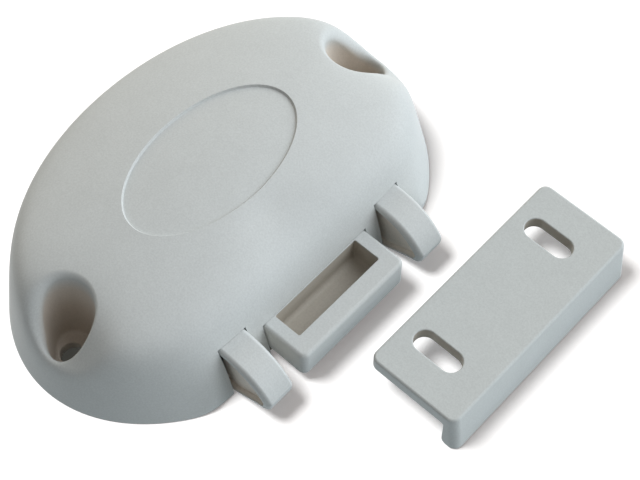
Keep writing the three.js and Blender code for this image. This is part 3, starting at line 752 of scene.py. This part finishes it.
def open_well(bm, x, painted_shade):
    """Takes the dome's skin away over a well and lays its rim, wall, floor and hole there."""
    gone = set()
    for vert in bm.verts:
        reach = math.hypot(vert.co.x - x, vert.co.y)
        if reach < 2 * WELL_RADIUS + PAST:
            _, top, rounding = rim_of_well(x, math.atan2(vert.co.y, vert.co.x - x))
            if reach < top + rounding + COLLAR_WIDTH + COLLAR_GAP:
                gone.update(vert.link_faces)
    bmesh.ops.delete(bm, geom=list(gone), context="FACES")
    ragged = [e for e in bm.edges if e.is_boundary and abs(e.verts[0].co.x - x) < 3 * WELL_RADIUS]
    ragged = [e for e in ragged if max(v.co.z for v in e.verts) > NEAR]
    profiles = [well_profile(x, 2 * math.pi * k / WELL_SIDES) for k in range(WELL_SIDES)]
    rings = []
    for level in range(len(profiles[0])):
        verts = []
        for k, profile in enumerate(profiles):
            angle = 2 * math.pi * k / WELL_SIDES
            radius, height, depth = profile[level]
            vert = bm.verts.new((x + radius * math.cos(angle), radius * math.sin(angle), height))
            # Painted warm shade, coming in with depth below the dome
            vert[painted_shade] = smoothstep(min(1.0, max(0.0, depth - PAINTED_SHADE_START) / PAINTED_SHADE_DEPTH))
            verts.append(vert)
        rings.append(verts)
    for outer, inner in zip(rings, rings[1:]):
        skin_between(bm, outer, inner)
    first = rings[0]
    collar = [bm.edges.get((vert, first[(k + 1) % WELL_SIDES])) for k, vert in enumerate(first)]
    edges = ragged + collar
    heights = {vert: vert.co.z for edge in edges for vert in edge.verts}
    for vert in heights:
        vert.co.z = 0.0
    bmesh.ops.triangle_fill(bm, edges=edges, use_beauty=True, use_dissolve=False, normal=(0, 0, 1))
    for vert, height in heights.items():
        vert.co.z = height


def open_notch(bm, x, half_width, top):
    """Cuts an opening into the front wall, from the foot up."""

    def nearby():
        faces = []
        for face in bm.faces:
            middle = face.calc_center_median()
            near = abs(middle.x - x) < half_width + PAST and middle.z < top + PAST
            if near and middle.y < NOTCH_BACK_Y:
                faces.append(face)
        return faces

    planes = [
        ((x - half_width, 0, 0), (1, 0, 0)),
        ((x + half_width, 0, 0), (1, 0, 0)),
        ((0, 0, top), (0, 0, 1)),
    ]
    for point, normal in planes:
        faces = nearby()
        edges = {edge for face in faces for edge in face.edges}
        verts = {vert for face in faces for vert in face.verts}
        geom = [*verts, *edges, *faces]
        bmesh.ops.bisect_plane(bm, geom=geom, plane_co=point, plane_no=normal, dist=SAME)
    gone = []
    for face in nearby():
        middle = face.calc_center_median()
        if abs(middle.x - x) < half_width and middle.z < top:
            gone.append(face)
    bmesh.ops.delete(bm, geom=gone, context="FACES")


def wall_at(point):
    """Thickness of the casing's wall. It is thinnest where a well comes close to the outside."""
    reach = math.hypot(abs(point.x) - WELL_X, point.y)
    share = min(1.0, max(0.0, reach / WELL_RADIUS - WELL_WALL_START))
    return WELL_WALL + (CASING_WALL - WELL_WALL) * smoothstep(share)


def thicken(bm):
    """Gives the open skin a wall on its inner side, which ends at the mounting face."""
    bm.normal_update()
    skin = list(bm.faces)
    rim = [edge for edge in bm.edges if edge.is_boundary]
    inner = {}
    for vert in list(bm.verts):
        point = vert.co - wall_at(vert.co) * vert.normal
        point.z = max(point.z, 0.0)
        inner[vert] = bm.verts.new(point)
    for face in skin:
        bm.faces.new([inner[vert] for vert in reversed(face.verts)])
    for edge in rim:
        loop = edge.link_loops[0]
        first = loop.vert
        second = loop.link_loop_next.vert
        bm.faces.new((second, first, inner[first], inner[second]))


def dome_normal(x, y):
    step = SLOPE_STEP
    slope_x = (dome_height(x + step, y) - dome_height(x - step, y)) / (2 * step)
    slope_y = (dome_height(x, y + step) - dome_height(x, y - step)) / (2 * step)
    return Vector((-slope_x, -slope_y, 1)).normalized()


def shade_by_slope(mesh):
    """Shades faces on the dome by the dome's own slope, so that the mesh doesn't show."""
    slopes = {}
    for vert in mesh.vertices:
        point = vert.co / MM
        on_dome = abs(dome_height(point.x, point.y) - point.z) < DOME_TOLERANCE
        if on_dome and point.z > CASING_WALL:
            slopes[vert.index] = dome_normal(point.x, point.y)
    normals = [corner.vector.copy() for corner in mesh.corner_normals]
    for face in mesh.polygons:
        known = [slopes.get(vert) for vert in face.vertices]
        if all(known) and known[0].dot(face.normal) > FACING:
            for corner, normal in zip(face.loop_indices, known):
                normals[corner] = normal
    mesh.normals_split_custom_set(normals)


def build_casing():
    bm = bmesh.new()
    # Mask of painted warm shade in the wells
    painted_shade = bm.verts.layers.float.new("painted_shade")
    dome_grid(bm)
    for x in (-WELL_X, WELL_X):
        open_well(bm, x, painted_shade)
    for x in (-CLAW_X, CLAW_X):
        open_notch(bm, x, CLAW_WIDTH / 2 + CLAW_NOTCH_GAP, CLAW_ROOT_TOP + CLAW_NOTCH_GAP)
    open_notch(bm, 0.0, BUTTON_HALF + BUTTON_NOTCH_GAP, BUTTON_TOP + BUTTON_NOTCH_GAP)
    loose = [vert for vert in bm.verts if not vert.link_faces]
    bmesh.ops.delete(bm, geom=loose, context="VERTS")
    thicken(bm)
    shade_by_slope(place("lock_casing", bm, MOULDING, "lock", ["casing"]).data)


# Claws
def beak_points(ramp_rim, tip_rim, low_rim):
    """Outline of a claw's beak, or of its hollow: convex ramp, round tip, rising lower edge."""
    tip = CLAW_REACH - tip_rim
    top = CLAW_ROOT_TOP - ramp_rim
    low = CLAW_ROOT_BOTTOM + low_rim
    heel = (tip - CLAW_TIP_SETBACK, CLAW_TIP_BOTTOM + low_rim)
    nose = (tip, CLAW_TIP_TOP - ramp_rim / 2)
    slide = SLIDE_Z + low_rim
    back, front = -CLAW_ROOT_BACK, -CLAW_ROOT_FRONT
    points = [(back, slide), (front, slide), (front, low), (0.0, low), heel]
    points += curve_points(heel, (tip, CLAW_TIP_BOTTOM + low_rim), nose)
    points += curve_points(nose, (CLAW_REACH * CLAW_BEND - ramp_rim, top), (front, top))
    return [*points, (back, top)]


def build_beak(x):
    """The beak, with rounded edges and a shallow hollow in each side."""
    outline = beak_points(0.0, 0.0, 0.0)
    rim = beak_points(CLAW_RAMP_RIM, CLAW_TIP_RIM, CLAW_LOW_RIM)
    half = CLAW_WIDTH / 2
    sections = []
    for step in range(ROUND_STEPS + 1):
        turn = math.pi / 2 * step / ROUND_STEPS
        share = CLAW_RIM_ROUNDED * (1 - math.cos(turn))
        sections.append((share, half - CLAW_EDGE * (1 - math.sin(turn)), 0.0))
    sections += [(share, half - depth, shaded) for share, depth, shaded in CLAW_HOLLOW]
    bm = bmesh.new()
    # Mask of painted warm bounce light and shade in the side hollows
    painted_shade = bm.verts.layers.float.new("painted_shade")
    rings = []
    for side in (-1, 1):
        for share, reach, shaded in sections[::side]:
            ring = []
            for (ahead, height), (ahead_in, height_in) in zip(outline, rim):
                y = FRONT_Y - ahead - (ahead_in - ahead) * share
                vert = bm.verts.new((x + side * reach, y, height + (height_in - height) * share))
                vert[painted_shade] = shaded
                ring.append(vert)
            rings.append(ring)
    skin_rings(bm, rings)
    return bm


def build_claw(name, x):
    bm = build_beak(x)
    half = CLAW_WIDTH / 2
    root_y = FRONT_Y + CLAW_ROOT_BACK
    root = block(x - half, x + half, root_y, EAR_BACK_Y, SLIDE_Z, CLAW_ROOT_TOP)
    top = [e for e in root.edges if min(v.co.z for v in e.verts) > CLAW_ROOT_TOP - SAME]
    shoulders = [e for e in top if abs(e.verts[0].co.x - e.verts[1].co.x) < SAME]
    soften(root, shoulders, CLAW_EDGE, steps=6)
    add_solid(bm, root)
    ear = half + CLAW_EAR
    add_slides(
        bm,
        block(x - half, x + half, EAR_BACK_Y - LAP, LUG_BACK_Y, SLIDE_Z, SHANK_TOP),
        block(x - half, x + half, LUG_FRONT_Y, LUG_BACK_Y, SLIDE_Z, LUG_TOP),
        block(x - half, x + half, LUG_FRONT_Y, TAIL_Y, SLIDE_Z, TAIL_TOP),
        block(x - ear, x + ear, EAR_FRONT_Y, EAR_BACK_Y, SLIDE_Z, EAR_TOP),
    )
    place(name + "_piece", bm, CLAW_MOULDING, name, [name])


# Push button
def pocket_space():
    """The space of the finger pocket: upright walls that run into the floor in a small rounding."""
    levels = [(0.0, BUTTON_TOP + PAST), (0.0, BUTTON_TOP - POCKET_LIGHT)]
    for step in range(CORNER_STEPS + 1):
        turn = math.pi / 2 * step / CORNER_STEPS
        inset = POCKET_FILLET * (1 - math.cos(turn))
        levels.append((inset, POCKET_FLOOR + POCKET_FILLET * (1 - math.sin(turn))))
    bm = bmesh.new()
    rings = []
    for inset, height in levels:
        outline = rounded_rectangle(
            inset - POCKET_HALF,
            POCKET_HALF - inset,
            POCKET_FRONT_Y + inset,
            POCKET_BACK_Y - inset,
            POCKET_CORNER,
        )
        rings.append([bm.verts.new((x, y, height)) for x, y in outline])
    skin_rings(bm, rings)
    return bm


def in_pocket(point):
    """Whether a point of the button lies on the pocket's floor or low on its walls."""
    if abs(point.x) >= POCKET_HALF + NEAR:
        return False
    if not POCKET_FRONT_Y - NEAR < point.y < POCKET_BACK_Y + NEAR:
        return False
    return POCKET_FLOOR - NEAR < point.z < BUTTON_TOP - POCKET_LIGHT + NEAR


def build_button():
    outline = rounded_rectangle(
        -BUTTON_HALF, BUTTON_HALF, BUTTON_FRONT_Y, BUTTON_BACK_Y, BUTTON_CORNER
    )
    bm = prism(outline, BUTTON_BOTTOM, BUTTON_TOP)
    level = [e for e in bm.edges if abs(e.verts[0].co.z - e.verts[1].co.z) < SAME]
    soften(bm, level, BUTTON_EDGE, steps=4)
    bm = cut(bm, pocket_space())
    painted_shade = bm.verts.layers.float.new("painted_shade")
    mouth = [e for e in sharp_edges(bm) if min(v.co.z for v in e.verts) > BUTTON_TOP - NEAR]
    soften(bm, mouth, POCKET_EDGE, steps=2)
    # Painted warm shade on the pocket's floor and lower walls
    for vert in bm.verts:
        vert[painted_shade] = 1.0 if in_pocket(vert.co) else 0.0
    ear = BUTTON_HIGH.x
    add_slides(
        bm,
        block(-ear, ear, EAR_FRONT_Y, EAR_BACK_Y, BUTTON_BOTTOM, EAR_TOP),
        block(-TONGUE_HALF, TONGUE_HALF, BUTTON_BACK_Y - LAP, TAIL_Y, BUTTON_BOTTOM, TAIL_TOP),
        block(-TONGUE_HALF, TONGUE_HALF, PAD_FRONT_Y, PAD_BACK_Y, BUTTON_BOTTOM, SHANK_TOP),
    )
    place("button_piece", bm, BUTTON_MOULDING, "push_button", ["push_button"])


# Keeper
def slot_points(x, y):
    half = SLOT_WIDTH / 2
    reach = SLOT_LENGTH / 2
    return rounded_rectangle(x - half, x + half, y - reach, y + reach, half)


def build_keeper():
    x0, far, _ = KEEPER_LOW
    x1, near, height = KEEPER_HIGH
    underside = height - KEEPER_PLATE
    bm = prism(rounded_rectangle(x0, x1, far, near, KEEPER_CORNER), 0.0, height)
    top = [e for e in bm.edges if min(v.co.z for v in e.verts) > height - SAME]
    soften(bm, top, KEEPER_EDGE, steps=6)
    for vert in bm.verts:
        if vert.co.y < far + KEEPER_LIP:
            vert.co.y += KEEPER_LEAN * vert.co.z / height
    middle = (x0 + x1) / 2
    lip = FRONT_Y - far - KEEPER_LIP
    end = FRONT_Y - near - PAST
    foot = lip + KEEPER_LIP_ROUNDING
    below = [(end, underside), (end, -PAST), (foot, -PAST), (foot, 0.0)]
    below += curve_points(below[-1], (lip, 0.0), (lip, KEEPER_LIP_ROUNDING))
    below.append((lip, underside - KEEPER_FILLET))
    below += curve_points(below[-1], (lip, underside), (lip - KEEPER_FILLET, underside))
    cutters = [side_profile(below, x0 - PAST, x1 + PAST)]
    for side in (-1, 1):
        outline = slot_points(middle + side * SLOT_SPACING / 2, near - SLOT_SETBACK)
        cutters.append(prism(outline, underside - PAST, height + PAST))
    bm = cut(bm, *cutters)
    soften(bm, sharp_edges(bm), SLOT_EDGE, steps=3)
    # Painted warm shade on the walls of the slots
    painted_shade = bm.verts.layers.float.new("painted_shade")
    for vert in bm.verts:
        inset = abs(abs(vert.co.x - middle) - SLOT_SPACING / 2) - SLOT_WIDTH / 2
        along = abs(vert.co.y - near + SLOT_SETBACK) - SLOT_LENGTH / 2
        deep = underside - NEAR < vert.co.z < height - SLOT_EDGE + NEAR
        vert[painted_shade] = 1.0 if deep and max(inset, along) < NEAR else 0.0
    place("keeper_piece", bm, KEEPER_MOULDING, "keeper", ["keeper"])


build_casing()
build_claw("left_claw", -CLAW_X)
build_claw("right_claw", CLAW_X)
build_button()
build_keeper()


# Springs and other hidden pieces
def build_spring(name):
    """One round wire wound in an even helix."""
    low, high = node_box(name)
    x = (low.x + high.x) / 2
    z = (low.z + high.z) / 2
    length = high.y - low.y
    count = SPRING_CURLS * CURL_STEPS
    path = []
    for step in range(count + 1):
        angle = 2 * math.pi * step / CURL_STEPS
        y = low.y + 2 * SPRING_WIRE + (length - 4 * SPRING_WIRE) * step / count
        sideways = SPRING_RADIUS * math.cos(angle)
        path.append(Vector((x + sideways, y, z + SPRING_RADIUS * math.sin(angle))))
    path.insert(0, Vector((path[0].x, low.y, path[0].z)))
    path.append(Vector((path[-1].x, high.y, path[-1].z)))
    bm = bmesh.new()
    rings = []
    for i, point in enumerate(path):
        along = (path[min(i + 1, len(path) - 1)] - path[max(i - 1, 0)]).normalized()
        out = Vector((point.x - x, 0, point.z - z)).normalized()
        across = along.cross(out).normalized()
        ring = []
        for side in range(WIRE_SIDES):
            angle = 2 * math.pi * side / WIRE_SIDES
            offset = out * math.cos(angle) + across * math.sin(angle)
            ring.append(bm.verts.new(point + SPRING_WIRE * offset))
        rings.append(ring)
    skin_rings(bm, rings)
    made = place(name + "_wire", bm, STEEL, "lock", [name])
    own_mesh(made)


for spring, joint in (
    ("left_claw_spring", "left_claw_slide"),
    ("button_spring", "button_push"),
    ("right_claw_spring", "right_claw_slide"),
):
    build_spring(spring)


def dress(node, material, edge):
    """Gives a CAD node its finish and slightly rounded edges."""
    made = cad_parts[node]
    made.data.materials.clear()
    made.data.materials.append(material)
    weld = made.modifiers.new("weld", "WELD")
    weld.merge_threshold = WELD * MM
    rounding = made.modifiers.new("edges", "BEVEL")
    rounding.width = edge * MM
    rounding.segments = 2
    rounding.limit_method = "ANGLE"
    rounding.angle_limit = SHARP_ANGLE


def screw_radius(height, angle, length):
    """Radius of the thread at one place: a ridge winds round the core and ends at the point."""
    phase = (height / SCREW_PITCH - angle / (2 * math.pi)) % 1.0
    ridge = (1 - abs(2 * phase - 1)) ** SCREW_THREAD
    full = SCREW_CORE_RADIUS + (SCREW_SHANK_RADIUS - SCREW_CORE_RADIUS) * ridge
    return full * min(1.0, SCREW_TIP + (length - height) / SCREW_POINT)


def build_screw(node):
    """A pan-head screw with a cross in its head and a thread down to a point."""
    low, high = node_box(node)
    x = (low.x + high.x) / 2
    y = (low.y + high.y) / 2
    head_up = not node.startswith("back_plate")
    length = high.z - low.z
    head_radius = (high.x - low.x) / 2
    profile = [(0.0, SCREW_CENTRE), (0.0, head_radius * SCREW_FLAT)]
    for step in range(1, ROUND_STEPS + 1):
        turn = math.pi / 2 * step / ROUND_STEPS
        share = SCREW_FLAT + (1 - SCREW_FLAT) * math.sin(turn)
        profile.append((SCREW_CROWN * (1 - math.cos(turn)), head_radius * share))
    profile += [
        (SCREW_HEAD - SCREW_HEAD_EDGE, head_radius),
        (SCREW_HEAD, head_radius - SCREW_HEAD_EDGE),
        (SCREW_HEAD, SCREW_SHANK_RADIUS),
    ]
    bm = bmesh.new()
    rings = []

    def ring(down, radius_at):
        level = high.z - down if head_up else low.z + down
        verts = []
        for side in range(SCREW_SIDES):
            angle = 2 * math.pi * side / SCREW_SIDES
            out = radius_at(angle) * Vector((math.cos(angle), math.sin(angle), 0))
            verts.append(bm.verts.new(Vector((x, y, level)) + out))
        rings.append(verts)

    for down, radius in profile:
        ring(down, lambda angle: radius)
    turns = math.ceil((length - SCREW_HEAD) / SCREW_PITCH) * ROUND_STEPS
    for step in range(1, turns + 1):
        down = SCREW_HEAD + (length - SCREW_HEAD) * step / turns
        ring(down, lambda angle: screw_radius(down, angle, length))
    skin_rings(bm, rings)
    face = high.z if head_up else low.z
    inner = face - CROSS_DEPTH if head_up else face + CROSS_DEPTH
    outer = face + PAST if head_up else face - PAST
    bottom, top = sorted((inner, outer))
    half = CROSS_LENGTH / 2
    slim = CROSS_WIDTH / 2
    bm = cut(
        bm,
        block(x - half, x + half, y - slim, y + slim, bottom, top),
        block(x - slim, x + slim, y - half, y + half, bottom, top),
    )
    body = "push_button" if node.startswith("draw_bar") else "lock"
    place(node + "_piece", bm, STEEL, body, [node])


for node in ("back_plate", "guide_bridge", "draw_bar"):
    dress(node, INNER_MOULDING, PLATE_EDGE)
for node in list(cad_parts):
    if "screw" in node:
        build_screw(node)
    elif node.endswith("rod"):
        dress(node, STEEL, ROD_EDGE)

# Floor, backdrop and light
FLOOR_SIZE = 6.0
FLOOR_Z = -0.0002
FLOOR_GLOW = 0.2
FLOOR_BOUNCE = (0.36, 0.45, 0.5, 1)
PAPER = (0.95, 0.95, 0.95, 1)
# Painted shadow: dark paper and glow on the floor under the casing, which show through the wells'
# holes
PAPER_PAINTED_SHADOW = (0.06, 0.06, 0.05, 1)
GLOW = (1.0, 0.93, 0.92, 1)
GLOW_PAINTED_SHADOW = (0.2, 0.2, 0.18, 1)
PAINTED_SHADOW_HALF_DEPTH = 30.0
PAINTED_SHADOW_EDGE = 0.04
SKY = (1.0, 0.92, 0.86, 1)
SKY_STRENGTH = 0.2
WHITE = (1, 1, 1, 1)
# Name, direction it stands in, strength, spread in degrees, colour, and whether it lights the
# floor or all else
LAMPS = (
    ("overhead", (-0.28, 0.36, 1.0), 2.88, 20, (1.0, 1.0, 1.0), True),
    ("front_right", (0.72, -0.41, 0.57), 3.3, 80, (0.9, 0.953, 1.0), False),
    ("back", (0.33, 0.89, 0.32), 0.96, 60, (1.0, 0.89, 0.71), False),
)


def seen_directly(tree):
    """1 for what the camera sees, also in a reflection, and 0 for light that is passed on."""
    path = tree.nodes.new("ShaderNodeLightPath")
    seen = calculate(tree, "MAXIMUM", path.outputs["Is Camera Ray"], path.outputs["Is Glossy Ray"])
    return calculate(tree, "MAXIMUM", seen, path.outputs["Is Transmission Ray"])


def choose(tree, share, first, second, end):
    choice = tree.nodes.new("ShaderNodeMixShader")
    tree.links.new(share, choice.inputs[0])
    tree.links.new(first.outputs[0], choice.inputs[1])
    tree.links.new(second.outputs[0], choice.inputs[2])
    tree.links.new(choice.outputs[0], end.inputs["Surface"])


def painted_shadow_under_casing(tree):
    """1 on the part of the floor that the casing stands over, where the floor gets a painted
    shadow.
    """
    spot = tree.nodes.new("ShaderNodeMapping")
    spot.vector_type = "TEXTURE"
    spot.inputs["Location"].default_value = (0.0, OUTLINE_Y * MM, 0.0)
    spot.inputs["Scale"].default_value = (HALF_LENGTH * MM, PAINTED_SHADOW_HALF_DEPTH * MM, 1.0)
    tree.links.new(tree.nodes.new("ShaderNodeTexCoord").outputs["Object"], spot.inputs["Vector"])
    fall = tree.nodes.new("ShaderNodeTexGradient")
    fall.gradient_type = "SPHERICAL"
    tree.links.new(spot.outputs["Vector"], fall.inputs["Vector"])
    return calculate(tree, "GREATER_THAN", fall.outputs["Fac"], PAINTED_SHADOW_EDGE)


def build_floor():
    bpy.ops.mesh.primitive_plane_add(size=FLOOR_SIZE, location=(0, 0, FLOOR_Z))
    floor = bpy.context.object
    floor.name = "floor"
    material = bpy.data.materials.new("white_floor")
    material.use_nodes = True
    tree = material.node_tree
    tree.nodes.clear()
    paper = tree.nodes.new("ShaderNodeBsdfDiffuse")
    glow = tree.nodes.new("ShaderNodeEmission")
    glow.inputs["Strength"].default_value = FLOOR_GLOW
    # Painted shadow on the floor under the casing
    painted_shadow = painted_shadow_under_casing(tree)
    for shader, bright, dim in ((paper, PAPER, PAPER_PAINTED_SHADOW), (glow, GLOW, GLOW_PAINTED_SHADOW)):
        tree.links.new(mix_colour(tree, painted_shadow, bright, dim), shader.inputs["Color"])
    shown = tree.nodes.new("ShaderNodeAddShader")
    tree.links.new(paper.outputs[0], shown.inputs[0])
    tree.links.new(glow.outputs[0], shown.inputs[1])
    bounced = tree.nodes.new("ShaderNodeBsdfDiffuse")
    bounced.inputs["Color"].default_value = FLOOR_BOUNCE
    choose(tree, seen_directly(tree), bounced, shown, tree.nodes.new("ShaderNodeOutputMaterial"))
    floor.data.materials.append(material)
    return floor


def build_world():
    world = bpy.data.worlds.new("studio")
    scene.world = world
    world.use_nodes = True
    tree = world.node_tree
    tree.nodes.clear()
    sky = tree.nodes.new("ShaderNodeBackground")
    sky.inputs["Color"].default_value = SKY
    sky.inputs["Strength"].default_value = SKY_STRENGTH
    white = tree.nodes.new("ShaderNodeBackground")
    white.inputs["Color"].default_value = WHITE
    choose(tree, seen_directly(tree), sky, white, tree.nodes.new("ShaderNodeOutputWorld"))


def aim(made, direction):
    """Points a lamp or the camera against the direction from which it looks."""
    made.rotation_euler = Vector(direction).to_track_quat("Z", "Y").to_euler()


def add_sun(floor, name, direction, strength, spread_deg, colour, on_floor):
    """A wide lamp far away, which lights either the floor or all else."""
    lamp = bpy.data.lights.new(name, "SUN")
    lamp.energy = strength
    lamp.angle = math.radians(spread_deg)
    lamp.color = colour
    made = bpy.data.objects.new(name, lamp)
    scene.collection.objects.link(made)
    aim(made, direction)
    lit = bpy.data.collections.new(name + "_lights")
    lit.objects.link(floor)
    lit.collection_objects[0].light_linking.link_state = "INCLUDE" if on_floor else "EXCLUDE"
    made.light_linking.receiver_collection = lit


FLOOR = build_floor()
build_world()
for lamp in LAMPS:
    add_sun(FLOOR, *lamp)


# Camera
CAMERA_TARGET = Vector((11.72, -18.34, 0.0)) * MM
CAMERA_AZIMUTH = math.radians(-47.55)
CAMERA_ELEVATION = math.radians(59.58)
CAMERA_DISTANCE = 358.79 * MM
CAMERA_LENS = 93.83
CAMERA_SENSOR = 36.0
CAMERA_NEAR = 0.01


def build_camera():
    level = math.cos(CAMERA_ELEVATION)
    back = Vector((
        math.sin(CAMERA_AZIMUTH) * level,
        -math.cos(CAMERA_AZIMUTH) * level,
        math.sin(CAMERA_ELEVATION),
    ))
    lens = bpy.data.cameras.new("camera")
    lens.lens = CAMERA_LENS
    lens.sensor_width = CAMERA_SENSOR
    lens.clip_start = CAMERA_NEAR
    made = bpy.data.objects.new("camera", lens)
    scene.collection.objects.link(made)
    made.location = CAMERA_TARGET + CAMERA_DISTANCE * back
    aim(made, back)
    scene.camera = made


build_camera()
scene.view_settings.view_transform = "Standard"

bpy.context.view_layer.update()
